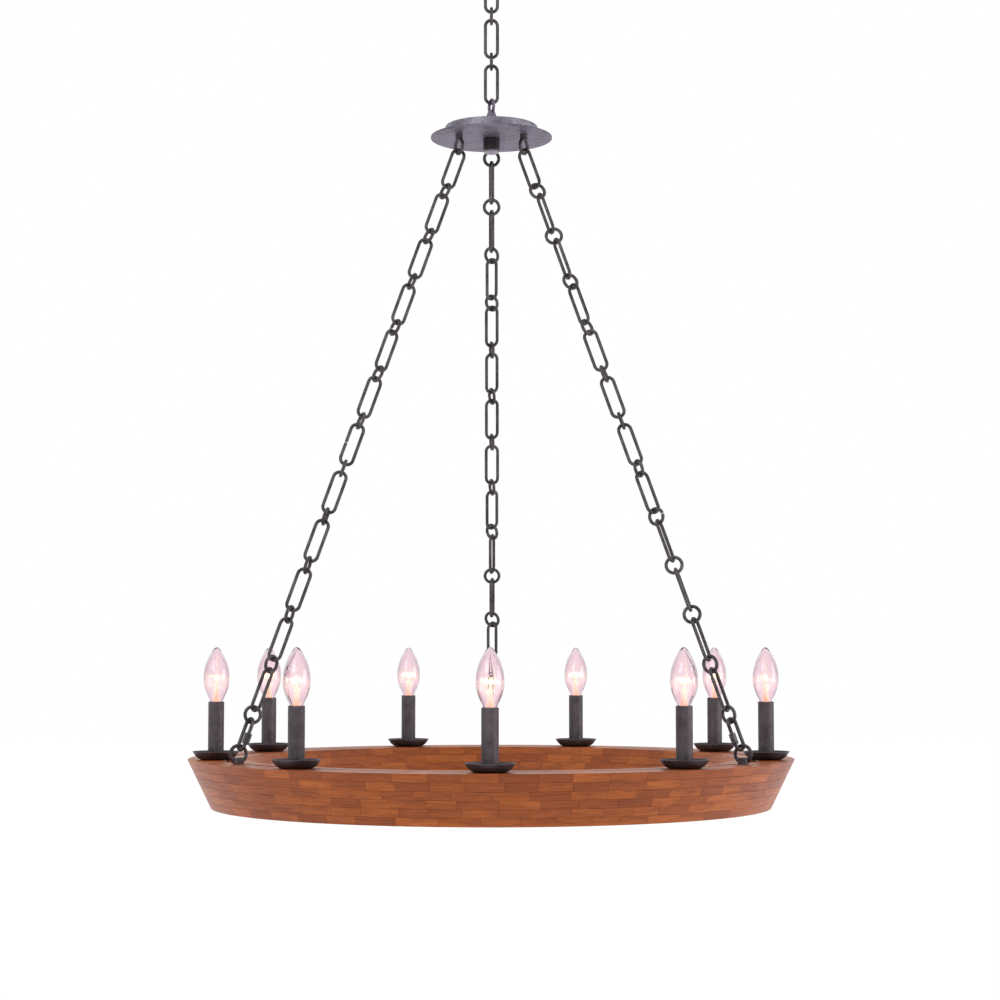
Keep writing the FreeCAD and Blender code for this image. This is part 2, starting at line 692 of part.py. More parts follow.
element_pitch = plain(leg_spine + ring_spine - leg_step * 2)
for leg, azimuth in LEGS.items():
    strand_line = Strand(azimuth)
    first_middle = plain(leg_spine / 2 - first_step)
    ring_middle = first_middle + plain(leg_spine / 2 - leg_step + ring_spine / 2)
    links = [
        strand_line.place(first_middle + element_pitch * i, LINK_TURNS[leg][i % len(LINK_TURNS[leg])])
        for i in range(LEG_LINKS)
    ]
    rings = [
        strand_line.place(ring_middle + element_pitch * i, RING_TURNS[leg][i % len(RING_TURNS[leg])])
        for i in range(LEG_LINKS)
    ]
    last_ring = ring_middle + element_pitch * (LEG_LINKS - 1)
    quick_middle = last_ring + plain(ring_spine / 2 - quick_step + quick_spine / 2)
    quick_turn = QUICK_TURNS[leg] + (0 if NUT_SIDES[leg] > 0 else 180)
    quick_place = strand_line.place(quick_middle, quick_turn)
    feature(
        f"leg_{leg}_long_links", placed(leg_link_pattern, links, leg_link_opened, OPEN_LINKS[leg])
    )
    feature(
        f"leg_{leg}_round_links", placed(leg_ring_pattern, rings, leg_ring_opened, OPEN_RINGS[leg])
    )
    feature(f"leg_{leg}_quick_link", placed(quick_pattern, [quick_place]))
    feature(f"leg_{leg}_quick_nut", placed(quick_nut_pattern, [quick_place]))

# ---------------------------------------------------------------- wood ring
wood = doc.addObject("PartDesign::Body", "wood_ring")
ring_inner = dim("ring_radius") - dim("ring_width")
wood_profile = draw_profile(
    wood,
    "wood_profile",
    [
        (ring_inner - dim("ring_flare"), -dim("ring_height")),
        (dim("ring_radius") - dim("ring_flare"), -dim("ring_height")),
        (dim("ring_radius"), ZERO),
        (ring_inner, ZERO),
    ],
)
doc.recompute()
wood_turning = wood.newObject("PartDesign::Revolution", "wood_turning")
wood_turning.Profile = wood_profile
wood_turning.ReferenceAxis = (wood_profile, ["V_Axis"])
wood_turning.Angle = 360
wood.Tip = wood_turning
groove_middle = candle_circle - dim("groove_inset")
groove_profile = draw_profile(
    wood,
    "groove_profile",
    tube_profile(
        groove_middle - dim("groove_width") / 2,
        groove_middle + dim("groove_width") / 2,
        -dim("groove_depth"),
        dim("groove_depth"),
    ),
)
doc.recompute()
groove = wood.newObject("PartDesign::Groove", "wiring_groove")
groove.Profile = groove_profile
groove.ReferenceAxis = (groove_profile, ["V_Axis"])
groove.Angle = 360
wood.Tip = groove


def drilled(name, radius, depth, away, copies):
    """A circle of blind holes in the wood ring's top face."""
    outline = tube_profile(ZERO, radius, -depth, dim("groove_depth"))
    profile = draw_profile(wood, name + "_profile", outline, away)
    doc.recompute()
    hole = wood.newObject("PartDesign::Groove", name)
    hole.Profile = profile
    hole.ReferenceAxis = (profile, ["V_Axis"])
    hole.Angle = 360
    circle = wood.newObject("PartDesign::PolarPattern", name + "_circle")
    circle.Originals = [hole]
    circle.Axis = (origin_plane(wood, "Z_Axis"), [""])
    circle.Angle = 360
    circle.Occurrences = copies
    wood.Tip = circle


nipple_depth = dim("insert_length") + dim("nut_height")
drilled("insert_holes", dim("insert_radius"), nipple_depth, -candle_circle, CANDLES)
shank_room = dim("shank_radius") + dim("thread_play")
drilled("shank_holes", shank_room, dim("ring_shank") + dim("joint_play"), candle_circle, len(LEGS))
move(wood, z=wood_top)
keep(wood, "wood_ring")

ring_eyes = []
for azimuth, x, y in round_places(candle_circle, LEGS.values()):
    wire = eye(
        f"ring_eye_wire_{azimuth}", dim("ring_eye"), dim("eye_wire"), x, y,
        wood_top + dim("ring_eye_rise"), azimuth,
    )
    collar = cylinder(f"ring_collar_{azimuth}", dim("ring_collar"), dim("collar_height"), x, y, wood_top)
    shank = cylinder(
        f"ring_shank_{azimuth}", dim("shank_radius"), dim("ring_shank") + dim("collar_height"),
        x, y, wood_top - dim("ring_shank"),
    )
    ring_eyes.append(fuse(f"ring_eye_{azimuth}", [wire, collar, shank]))
keep(group("ring_eye_group", ring_eyes), "ring_eyes")

harness = doc.addObject("Part::Torus", "harness")
bind(harness, Radius1=groove_middle, Radius2=dim("harness_radius"))
keep(move(harness, z=wood_top - dim("groove_depth") + dim("harness_radius")), "wiring_harness")

# ---------------------------------------------------------------- candles
pan_hole = dim("nipple_radius") + dim("joint_play")
metal = dim("pan_sheet")
front = -candle_circle


def candle_ring(label, corners, z=wood_top):
    """One turned piece on each candle's place."""
    return keep(turned(label, corners, away=front, copies=CANDLES, z=z), label)


candle_ring("candle_inserts", tube_profile(threaded, dim("insert_radius"), -dim("insert_length"), ZERO))
sleeve_low = metal
sleeve_top = metal + dim("sleeve_length")
socket_top = sleeve_top - dim("socket_recess")
socket_low = socket_top - dim("socket_length")
candle_ring(
    "candle_nipples",
    tube_profile(
        dim("nipple_bore"),
        dim("nipple_radius"),
        -dim("insert_length"),
        socket_low + dim("nipple_engage"),
    ),
)
candle_ring(
    "candle_pans",
    [
        (pan_hole, ZERO),
        (dim("pan_base"), ZERO),
        (dim("pan_bend"), dim("pan_bend_height")),
        (dim("pan_radius") - metal, dim("pan_height") - metal),
        (dim("pan_radius"), dim("pan_height") - metal),
        (dim("pan_radius"), dim("pan_height")),
        (dim("pan_radius") - dim("pan_lip"), dim("pan_height")),
        (dim("pan_bend") - dim("pan_shift"), dim("pan_bend_height") + metal),
        (dim("pan_base") - dim("pan_shift"), metal),
        (pan_hole, metal),
    ],
)
candle_ring(
    "candle_sleeves",
    tube_profile(dim("sleeve_radius") - dim("sleeve_wall"), dim("sleeve_radius"), sleeve_low, sleeve_top),
)
mouth = dim("socket_bore")
candle_ring(
    "candle_sockets",
    [
        (threaded, socket_low),
        (dim("socket_radius"), socket_low),
        (dim("socket_radius"), socket_top),
        (mouth, socket_top),
        (mouth, socket_top - dim("socket_depth")),
        (ZERO, socket_top - dim("socket_depth")),
        (ZERO, socket_low + dim("nipple_engage") + dim("joint_play")),
        (threaded, socket_low + dim("nipple_engage") + dim("joint_play")),
    ],
)
candle_ring("candle_nuts", tube_profile(threaded, dim("nut_radius"), metal, metal + dim("nut_height")))

# ---------------------------------------------------------------- bulbs
# the glass outline as shares of the height above the sleeve and of the largest radius
GLASS_OUTLINE = [
    (0.08, 0.5), (0.16, 0.66), (0.27, 0.9), (0.38, 0.995), (0.51, 0.99), (0.63, 0.9),
    (0.73, 0.77), (0.83, 0.59), (0.91, 0.4), (0.965, 0.23), (0.99, 0.1),
]


bulb_foot = dim("joint_play") - dim("socket_recess")


def glass_shape():
    """A torpedo bulb's glass: a thin shell turned about its axis, open at the neck."""
    wall = plain(dim("glass_wall"))
    neck = plain(dim("bulb_neck"))
    height = plain(dim("bulb_height"))
    cap = plain(dim("cap_radius"))

    def outline(inset):
        points = [Vector(cap + wall - inset, 0, plain(bulb_foot)), Vector(neck - inset, 0, 0)]
        points += [
            Vector(plain(dim("bulb_radius")) * across - inset, 0, height * up) for up, across in GLASS_OUTLINE
        ]
        return points + [Vector(0, 0, height - inset)]

    outer, inner = outline(0), outline(wall)
    curves = []
    for points in (outer, inner):
        curve = Part.BSplineCurve()
        curve.interpolate(points)
        curves.append(curve.toShape())
    edges = [
        curves[0],
        Part.makeLine(outer[-1], inner[-1]),
        curves[1],
        Part.makeLine(inner[0], outer[0]),
    ]
    face = Part.Face(Part.Wire(Part.__sortEdges__(edges)))
    return face.revolve(Vector(), Vector(0, 0, 1), 360)


def straight_wire(name, length, start, way):
    """A straight piece of filament wire from a point in a direction."""
    obj = bind(doc.addObject("Part::Cylinder", name), Radius=dim("lead_radius"), Height=length)
    obj.Placement = Placement(Vector(), Rotation(Vector(0, 0, 1), way))
    return move(obj, *start)


glass_pattern = doc.addObject("Part::Feature", "bulb_glass_pattern")
glass_pattern.Shape = glass_shape()

# the screw cap with the glass stem, and the filament on its two leads
reach = dim("filament_reach")
lead_start = dim("stem_radius") / 2
lead_low = dim("stem_height") - dim("lead_radius")
lead_rise = dim("filament_height") - lead_low
lead_spread = reach - dim("lead_radius") - lead_start
lead_length = root(lead_rise * lead_rise + lead_spread * lead_spread)
mount_pieces = [
    cylinder("mount_cap", dim("cap_radius"), dim("cap_length"), z=bulb_foot - dim("cap_length")),
    cylinder("mount_stem", dim("stem_radius"), dim("stem_height") - bulb_foot, z=bulb_foot),
    straight_wire("filament", reach * 2, (-reach, ZERO, dim("filament_height")), Vector(1, 0, 0)),
]
for side, name in ((-1, "lead_left"), (1, "lead_right")):
    way = Vector(side * plain(lead_spread), 0, plain(lead_rise))
    mount_pieces.append(straight_wire(name, lead_length, (lead_start * side, ZERO, lead_low), way))
mount_pattern = fuse("bulb_mount_pattern", mount_pieces)
doc.recompute()

sleeve_top_z = plain(wood_top + sleeve_top)
for number in range(CANDLES):
    azimuth = 360.0 * number / CANDLES
    _, x, y = next(round_places(candle_circle, [azimuth]))
    spot = Placement(Vector(plain(x), plain(y), sleeve_top_z), Rotation(Vector(0, 0, 1), azimuth))
    feature(f"bulb_{number + 1}_glass", placed(glass_pattern, [spot]))
    feature(f"bulb_{number + 1}_mount", placed(mount_pattern, [spot]))

# ---------------------------------------------------------------- test and export
doc.recompute()
for obj in doc.Objects:
    if "Invalid" in obj.State or "Error" in obj.State:
        raise RuntimeError(f"{obj.Label} failed: {obj.State}")
for obj in parts:
    if obj.Shape.isNull() or not obj.Shape.isValid() or not obj.Shape.Solids:
        raise RuntimeError(f"{obj.Label} has no valid solid")

os.makedirs("parts", exist_ok=True)
for obj in parts:
    obj.Shape.exportStep(os.path.join("parts", obj.Label + ".step"))
print(len(parts), "pieces; wood top at", round(plain(wood_top), 2))
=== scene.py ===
import math
import random

import bpy
from mathutils import Matrix, Vector, noise


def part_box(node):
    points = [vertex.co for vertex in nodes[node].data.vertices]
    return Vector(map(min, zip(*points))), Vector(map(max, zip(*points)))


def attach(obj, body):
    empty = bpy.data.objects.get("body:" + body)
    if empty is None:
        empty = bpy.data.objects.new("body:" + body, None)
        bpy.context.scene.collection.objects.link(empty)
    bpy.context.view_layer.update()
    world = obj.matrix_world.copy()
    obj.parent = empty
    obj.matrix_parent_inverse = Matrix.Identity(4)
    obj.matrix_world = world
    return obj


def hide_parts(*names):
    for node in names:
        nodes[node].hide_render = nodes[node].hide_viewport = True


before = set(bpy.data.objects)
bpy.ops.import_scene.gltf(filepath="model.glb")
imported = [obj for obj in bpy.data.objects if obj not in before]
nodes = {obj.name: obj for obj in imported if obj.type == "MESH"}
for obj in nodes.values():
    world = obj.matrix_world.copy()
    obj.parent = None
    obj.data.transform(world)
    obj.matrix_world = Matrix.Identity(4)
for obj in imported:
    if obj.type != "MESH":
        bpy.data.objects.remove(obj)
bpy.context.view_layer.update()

# ------------------------------------------------------------------ ceiling fitting
# Steel crossbar, threaded nipple and nuts, cut and stamped from zinc plated steel.
# They hold the canopy to the ceiling box and are never seen once it hangs.


def linear(code):
    """An sRGB hex colour such as "#a0663f" as linear red, green, blue and alpha."""
    parts = [int(code[i:i + 2], 16) / 255 for i in (1, 3, 5)]
    return [p / 12.92 if p <= 0.04045 else ((p + 0.055) / 1.055) ** 2.4 for p in parts] + [1.0]


def add(tree, kind, inputs=None, **settings):
    """Adds a node, applies its settings, and fills or links its inputs."""
    made = tree.nodes.new("ShaderNode" + kind)
    for name, value in settings.items():
        setattr(made, name, value)
    for socket, value in (inputs or {}).items():
        if isinstance(value, bpy.types.NodeSocket):
            tree.links.new(value, made.inputs[socket])
        else:
            made.inputs[socket].default_value = value
    return made


def begin(name):
    """A new material's empty node tree."""
    material = bpy.data.materials.new(name)
    material.use_nodes = True
    material.node_tree.nodes.clear()
    return material, material.node_tree


def end(tree, shader):
    """Joins the last shader to the material's output."""
    add(tree, "OutputMaterial", {"Surface": shader.outputs[0]})


def dress(material, *names):
    """Gives CAD nodes their material."""
    for name in names:
        nodes[name].data.materials.clear()
        nodes[name].data.materials.append(material)


# zinc plated steel, stamped: bright blue-grey with a fine spangle
PLATE_LIGHT, PLATE_DARK = "#b9bcc2", "#8f9299"
SPANGLE = 0.004
zinc, tree = begin("zinc_plated_steel")
place = add(tree, "TexCoord").outputs["Object"]
spangle = add(tree, "TexVoronoi", {"Vector": place, "Scale": 1 / SPANGLE})
tone = add(
    tree, "Mix", {0: spangle.outputs["Distance"], 6: linear(PLATE_DARK), 7: linear(PLATE_LIGHT)},
    data_type="RGBA",
)
end(tree, add(
    tree, "BsdfPrincipled", {"Base Color": tone.outputs[2], "Metallic": 1.0, "Roughness": 0.38}
))
dress(
    zinc, "crossbar", "crossbar_nut", "canopy_nipple", "hub_nipple", "hub_eye_nuts",
    "candle_nipples", "candle_nuts", "candle_inserts",
)

# ------------------------------------------------------------------ canopy and its loop
# A spun iron bell covers the ceiling box, and a collar nut clamps it. The loop in its
# middle carries the chain. All are hammered lightly and finished in dark wax.
MOTTLE = 0.018
HAMMER_MARK = 0.007
SCALE_GRAIN = 0.0016


def hammered_iron(name, dark, mid, rubbed, metal, rough, mark, depth):
    """Iron worked with a hammer, blackened and waxed: dark and paler in patches, rubbed pale in
    fine spots, hammer marks in the relief.
    """
    material, tree = begin(name)
    place = add(tree, "TexCoord").outputs["Object"]
    mottle = add(
        tree, "TexNoise", {"Vector": place, "Scale": 1 / MOTTLE, "Detail": 4.0, "Roughness": 0.62}
    )
    spread = add(
        tree, "MapRange", {"Value": mottle.outputs["Fac"], "From Min": 0.34, "From Max": 0.66}
    )
    first = add(
        tree, "Mix", {0: spread.outputs[0], 6: linear(dark), 7: linear(mid)}, data_type="RGBA"
    )
    grain = add(
        tree, "TexNoise",
        {"Vector": place, "Scale": 1 / SCALE_GRAIN, "Detail": 3.0, "Roughness": 0.7},
    )
    worn = add(
        tree, "MapRange",
        {"Value": grain.outputs["Fac"], "From Min": 0.56, "From Max": 0.74, "To Max": 0.7},
    )
    colour = add(
        tree, "Mix", {0: worn.outputs[0], 6: first.outputs[2], 7: linear(rubbed)}, data_type="RGBA"
    )
    dents = add(
        tree, "TexVoronoi", {"Vector": place, "Scale": 1 / mark, "Smoothness": 0.6},
        feature="SMOOTH_F1",
    )
    both = add(
        tree, "Math", {0: grain.outputs["Fac"], 1: 0.3, 2: dents.outputs["Distance"]},
        operation="MULTIPLY_ADD",
    )
    bump = add(tree, "Bump", {"Strength": 1.0, "Distance": depth, "Height": both.outputs[0]})
    dull = add(
        tree, "MapRange",
        {"Value": mottle.outputs["Fac"], "To Min": rough - 0.1, "To Max": rough + 0.12},
    )
    end(tree, add(
        tree, "BsdfPrincipled",
        {
            "Base Color": colour.outputs[2], "Metallic": metal, "Roughness": dull.outputs[0],
            "Normal": bump.outputs[0],
        },
    ))
    return material


# wrought iron, hammered and waxed: soft grey sheen with darker patches
hub_iron = hammered_iron(
    "hammered_iron_hub", "#544c5a", "#786e7f", "#a199a8",
    metal=0.8, rough=0.5, mark=HAMMER_MARK, depth=0.0006,
)
dress(hub_iron, "ceiling_canopy", "canopy_loop", "canopy_collar_nut")

# ------------------------------------------------------------------ chains
# Links bent from round iron wire and closed at a butt joint, long and round in turn.
# The wire is darker than the hub, with pale streaks where the finish is rubbed.
chain_iron = hammered_iron(
    "blackened_iron_chain", "#332f31", "#575256", "#8f898f",
    metal=0.8, rough=0.46, mark=0.004, depth=0.0003,
)
dress(
    chain_iron, "chain_link_top", "chain_ring_top", "chain_link_middle", "chain_ring_bottom",
    "chain_link_bottom", "ring_eyes", "hub_eyes",
)
for leg in ("left", "right", "back"):
    dress(
        chain_iron, f"leg_{leg}_long_links", f"leg_{leg}_round_links",
        f"leg_{leg}_quick_link", f"leg_{leg}_quick_nut",
    )

# ------------------------------------------------------------------ hub
# A flat disc carries the three eyes, and a shallow cover hides their nuts. Both are
# iron sheet worked with a hammer. A turned knob closes the stud underneath.
dress(hub_iron, "hub_loop")
ON_AXIS = 1e-7


def lathe(profile, turns, close=True):
    """Points and faces of a profile of (radius, height) turned about the vertical axis."""
    points, faces = [], []
    count = len(profile)
    for step in range(turns):
        angle = 2 * math.pi * step / turns
        points += [(r * math.cos(angle), r * math.sin(angle), z) for r, z in profile]
    for step in range(turns):
        here, there = step * count, (step + 1) % turns * count
        for i in range(count if close else count - 1):
            j = (i + 1) % count
            corners = [here + i, there + i, there + j, here + j]
            if profile[i][0] < ON_AXIS:
                corners = [here + i, there + j, here + j]
            elif profile[j][0] < ON_AXIS:
                corners = [here + i, there + i, here + j]
            if profile[i][0] > ON_AXIS or profile[j][0] > ON_AXIS:
                faces.append(corners)
    return points, faces


def piece(name, points, faces, material, sharp=35, at=(0, 0, 0)):
    """A mesh piece with smooth faces and sharp edges above an angle in degrees."""
    mesh = bpy.data.meshes.new(name)
    mesh.from_pydata([tuple(p) for p in points], [], faces)
    mesh.polygons.foreach_set("use_smooth", [True] * len(faces))
    mesh.set_sharp_from_angle(angle=math.radians(sharp))
    mesh.materials.append(material)
    made = bpy.data.objects.new(name, mesh)
    made.location = at
    bpy.context.scene.collection.objects.link(made)
    return made


def weld(points, faces, gap=1e-6):
    """Joins points that share a place, as a lathe's points on its axis do."""
    seen, order, kept = {}, [], []
    for p in points:
        key = tuple(round(c / gap) for c in p)
        if key not in seen:
            seen[key] = len(kept)
            kept.append(p)
        order.append(seen[key])
    tidy = []
    for face in faces:
        corners = []
        for i in face:
            if order[i] not in corners:
                corners.append(order[i])
        if len(corners) > 2:
            tidy.append(corners)
    return kept, tidy


def rounded(corners, radius, steps=4):
    """A closed outline with each corner rounded to this radius, or to most of a short side."""
    out = []
    count = len(corners)
    most = 0.45
    for i in range(count):
        before, here, after = (Vector(corners[(i + k) % count]) for k in (-1, 0, 1))
        first, second = before - here, after - here
        reach = min(radius, first.length * most, second.length * most)
        start, stop = here + first.normalized() * reach, here + second.normalized() * reach
        if here.x < ON_AXIS:
            out.append(tuple(here))
            continue
        for k in range(steps + 1):
            t = k / steps
            spot = start * (1 - t) ** 2 + here * 2 * t * (1 - t) + stop * t ** 2
            out.append((max(spot.x, 0.0), spot.y))
    return out


def split(profile, longest):
    """Divides an outline's runs so that none is longer than this."""
    out = []
    for i, (a, b) in enumerate(zip(profile, profile[1:] + profile[:1])):
        a, b = Vector(a), Vector(b)
        parts = max(1, math.ceil((b - a).length / longest))
        out += [tuple(a.lerp(b, k / parts)) for k in range(parts)]
    return out


# sheet edges, hammer dents, the hole for the stud, and the finest runs of each outline
EDGE, COVER_EDGE = 0.0006, 0.0016
DENT, DENT_SIZE, DENT_LEVEL = 0.00025, 0.009, 0.6
STUD_HOLE = 0.0049
PLATE_STEP, COVER_STEP, KNOB_STEP = 0.006, 0.003, 0.003
ROUND, KNOB_ROUND = 144, 96

plate_low, plate_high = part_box("hub_plate")
plate_radius = plate_high.x
plate_outline = rounded(
    [
        (STUD_HOLE, plate_low.z), (plate_radius, plate_low.z),
        (plate_radius, plate_high.z), (STUD_HOLE, plate_high.z),
    ],
    EDGE,
)
spots, faces = lathe(split(plate_outline, PLATE_STEP), ROUND)
worked = []
for p in map(Vector, spots):
    underside = p.z < (plate_low.z + plate_high.z) / 2 and p.xy.length < plate_radius - 2 * EDGE
    worked.append(p + Vector((0, 0, noise.noise(p / DENT_SIZE) * DENT)) if underside else p)
hub_plate = piece("hub_plate_worked", worked, faces, hub_iron)
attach(hub_plate, "hub")
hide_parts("hub_plate")

cover_iron = hammered_iron(
    "hammered_iron_cover", "#5f5c66", "#86838e", "#bcbac6",
    metal=0.8, rough=0.42, mark=HAMMER_MARK * 0.7, depth=0.0009,
)
cover_low, cover_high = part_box("hub_cover")
cover_radius, cover_sheet, cover_rim = cover_high.x, 0.0015, 0.002
cover_outline = rounded(
    [
        (STUD_HOLE, cover_high.z - cover_sheet),
        (cover_radius - cover_sheet, cover_high.z - cover_sheet),
        (cover_radius - cover_sheet, cover_low.z),
        (cover_radius, cover_low.z),
        (cover_radius, cover_high.z),
        (STUD_HOLE, cover_high.z),
    ],
    COVER_EDGE,
)
spots, faces = lathe(split(cover_outline, COVER_STEP), 2 * ROUND)
worked = []
for p in map(Vector, spots):
    on_side = p.z < cover_high.z - cover_rim
    way = Vector((p.x, p.y, 0)).normalized() if on_side else Vector((0, 0, 1))
    drop = (noise.noise(p / DENT_SIZE) - DENT_LEVEL) * DENT
    worked.append(p + way * drop if p.xy.length > STUD_HOLE * 2 else p)
hub_cover = piece("hub_cover_worked", worked, faces, cover_iron)
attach(hub_cover, "hub")
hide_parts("hub_cover")

knob_low, knob_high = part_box("hub_finial")
# iron, turned and blackened, in patches of 3.8 mm; the rounded end is made pale by a painted
# reflection of the floor
REFLECTED_FULL, REFLECTED_END, PATCHES_PER_METRE = 0.0015, 0.005, 260
knob_iron, tree = begin("turned_iron_knob")
place = add(tree, "TexCoord").outputs["Object"]
height = add(tree, "SeparateXYZ", {"Vector": place})
mottle = add(tree, "TexNoise", {"Vector": place, "Scale": PATCHES_PER_METRE, "Detail": 3.0})
# painted reflection of the floor: full up to 1.5 mm above the bottom of the rounded end, gone by 5
# mm
painted_reflection = add(
    tree, "MapRange",
    {
        "Value": height.outputs["Z"], "From Min": knob_low.z + REFLECTED_FULL,
        "From Max": knob_low.z + REFLECTED_END, "To Min": 1.0, "To Max": 0.0,
    },
)
side = add(
    tree, "Mix", {0: mottle.outputs["Fac"], 6: linear("#1d181c"), 7: linear("#3a3338")},
    data_type="RGBA",
)
colour = add(
    tree, "Mix", {0: painted_reflection.outputs[0], 6: side.outputs[2], 7: linear("#948d98")}, data_type="RGBA"
)
grains = add(tree, "Bump", {"Strength": 0.5, "Distance": 0.0002, "Height": mottle.outputs["Fac"]})
end(tree, add(
    tree, "BsdfPrincipled",
    {
        "Base Color": colour.outputs[2], "Metallic": 0.6, "Roughness": 0.42,
        "Normal": grains.outputs[0],
    },
))
knob_radius, bore_depth, knob_edge = knob_high.x, 0.012, 0.0004
# the rounded end as (share of the radius, rise above its lowest point)
KNOB_END = [(0, 0), (0.42, 0), (0.72, 0.0007), (0.9, 0.0022), (0.985, 0.0046), (1, 0.0068)]
knob_outline = [(knob_radius * share, knob_low.z + rise) for share, rise in KNOB_END]
knob_outline += [
    (knob_radius, knob_high.z - knob_edge), (knob_radius - knob_edge, knob_high.z),
    (STUD_HOLE, knob_high.z), (STUD_HOLE, knob_high.z - bore_depth), (0, knob_high.z - bore_depth),
]
spots, faces = weld(*lathe(split(knob_outline, KNOB_STEP), KNOB_ROUND, close=False))
hub_knob = piece("hub_knob_turned", spots, faces, knob_iron)
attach(hub_knob, "hub")
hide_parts("hub_finial")

# ------------------------------------------------------------------ wood ring
# Six courses of short hardwood blocks, glued like brickwork, then turned to a taper,
# stained warm brown and oiled. The courses' joints show as fine dark lines.
wood_low, wood_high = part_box("wood_ring")
wood_top, wood_bottom = wood_high.z, wood_low.z
TOP_RADIUS, WALL, TAPER = 0.430, 0.0825, 0.033
COURSES = 6
# a block's mean length, and the shares of it that blocks vary between
BLOCK_LENGTH, SHORTEST, LONGEST = 0.047, 0.82, 1.18
CHAMFER = 0.0002
GLUE_LINE = 0.00008
# the wiring groove's inner and outer radius and its depth
GROOVE = (0.3748, 0.3828, 0.007)
# the longest turn that a straight facet stands for
ARC = math.radians(1.7)
GRAIN_SPREAD = 9
course_height = (wood_top - wood_bottom) / COURSES
chance = random.Random(11)


def ring_radius(z):
    """The ring's outer radius at a height."""
    return TOP_RADIUS - TAPER * (wood_top - z) / (wood_top - wood_bottom)


def course_outline(low, high, top_course):
    """A block's section, (radius, height), counter-clockwise from its lower inner corner."""
    outline = [
        (ring_radius(low) - WALL, low), (ring_radius(low), low),
        (ring_radius(high), high),
    ]
    if top_course:
        inner, outer, depth = GROOVE
        outline += [(outer, high), (outer, high - depth), (inner, high - depth), (inner, high)]
    return outline + [(ring_radius(high) - WALL, high)]


def inset(outline, amount):
    """The outline drawn in by an amount, corner by corner."""
    out = []
    count = len(outline)
    sharpest = 0.2
    for i in range(count):
        a, b, c = (Vector(outline[(i + k) % count]) for k in (-1, 0, 1))
        first, second = (b - a).normalized(), (c - b).normalized()
        side_a, side_b = Vector((-first.y, first.x)), Vector((-second.y, second.x))
        way = side_a + side_b
        out.append(tuple(b + way * (amount / max(sharpest, way.dot(side_a)))))
    return out


def chamfered(outline, amount):
    """The outline with its corners cut off."""
    out = []
    count = len(outline)
    for i in range(count):
        a, b, c = (Vector(outline[(i + k) % count]) for k in (-1, 0, 1))
        out += [tuple(b + (a - b).normalized() * amount), tuple(b + (c - b).normalized() * amount)]
    return out


spots, faces, grain, tones = [], [], [], []
for course in range(COURSES):
    low = wood_bottom + course * course_height + GLUE_LINE
    high = wood_bottom + (course + 1) * course_height - GLUE_LINE
    if course == COURSES - 1:
        high = wood_top
    if course == 0:
        low = wood_bottom
    full = chamfered(course_outline(low, high, course == COURSES - 1), CHAMFER)
    small = inset(full, CHAMFER)
    mean_radius = ring_radius((low + high) / 2)
    count = round(2 * math.pi * mean_radius / BLOCK_LENGTH)
    lengths = [chance.uniform(SHORTEST, LONGEST) for _ in range(count)]
    total = sum(lengths)
    angle = chance.uniform(0, 1) * 2 * math.pi / count + course * math.pi / count
    for share in lengths:
        wide = 2 * math.pi * share / total
        start, stop = angle + GLUE_LINE / mean_radius, angle + wide - GLUE_LINE / mean_radius
        angle += wide
        parts = max(2, math.ceil((stop - start) / ARC))
        edge = CHAMFER / mean_radius
        stations = [(start, small), (start + edge, full)]
        stations += [(start + (stop - start) * k / parts, full) for k in range(1, parts)]
        stations += [(stop - edge, full), (stop, small)]
        base, size = len(spots), len(full)
        shift_u, shift_v = chance.uniform(0, GRAIN_SPREAD), chance.uniform(0, GRAIN_SPREAD)
        tone_here = chance.random()
        for turn, outline in stations:
            for r, z in outline:
                spots.append((r * math.cos(turn), r * math.sin(turn), z))
                grain.append((turn * mean_radius + shift_u, z + shift_v, r))
                tones.append(tone_here)
        for k in range(len(stations) - 1):
            for i in range(size):
                j = (i + 1) % size
                faces.append([base + k * size + i, base + k * size + j,
                              base + (k + 1) * size + j, base + (k + 1) * size + i])
        faces.append([base + i for i in range(size)])
        faces.append([base + (len(stations) - 1) * size + i for i in reversed(range(size))])
faces = [list(reversed(f)) for f in faces]

# hardwood, stained and oiled: each block has its own tone, grain along its length
STAIN_DARK, STAIN_MID, STAIN_LIGHT, PORE = "#763817", "#964d20", "#b56326", "#431c09"
GRAIN_WIDTH, GRAIN_LENGTH = 0.0012, 0.030
# the broad figure: 56 mm long, 8 mm high and 17 mm deep
FIGURE_PER_METRE = (18, 120, 60)
wood, tree = begin("stained_hardwood_blocks")
along = add(tree, "Attribute", attribute_name="grain")
own = add(tree, "Attribute", attribute_name="tone")
stretched = add(
    tree, "Mapping",
    {
        "Vector": along.outputs["Vector"],
        "Scale": (1 / GRAIN_LENGTH, 1 / GRAIN_WIDTH, 1 / GRAIN_WIDTH / 3),
    },
)
fibres = add(
    tree, "TexNoise",
    {
        "Vector": stretched.outputs[0], "Scale": 1.0, "Detail": 4.0, "Roughness": 0.6,
        "Distortion": 0.4,
    },
)
broad = add(tree, "Mapping", {"Vector": along.outputs["Vector"], "Scale": FIGURE_PER_METRE})
figure = add(
    tree, "TexNoise",
    {"Vector": broad.outputs[0], "Scale": 1.0, "Detail": 2.0, "Distortion": 0.8},
)
base = add(
    tree, "Mix", {0: own.outputs["Fac"], 6: linear(STAIN_DARK), 7: linear(STAIN_LIGHT)},
    data_type="RGBA",
)
middle = add(tree, "Mix", {0: 0.45, 6: base.outputs[2], 7: linear(STAIN_MID)}, data_type="RGBA")
share = add(
    tree, "MapRange",
    {"Value": figure.outputs["Fac"], "From Min": 0.38, "From Max": 0.7, "To Max": 0.65},
)
streaked = add(
    tree, "Mix", {0: share.outputs[0], 6: middle.outputs[2], 7: linear(STAIN_DARK)},
    data_type="RGBA",
)
fine = add(
    tree, "MapRange",
    {"Value": fibres.outputs["Fac"], "From Min": 0.48, "From Max": 0.72, "To Max": 0.6},
)
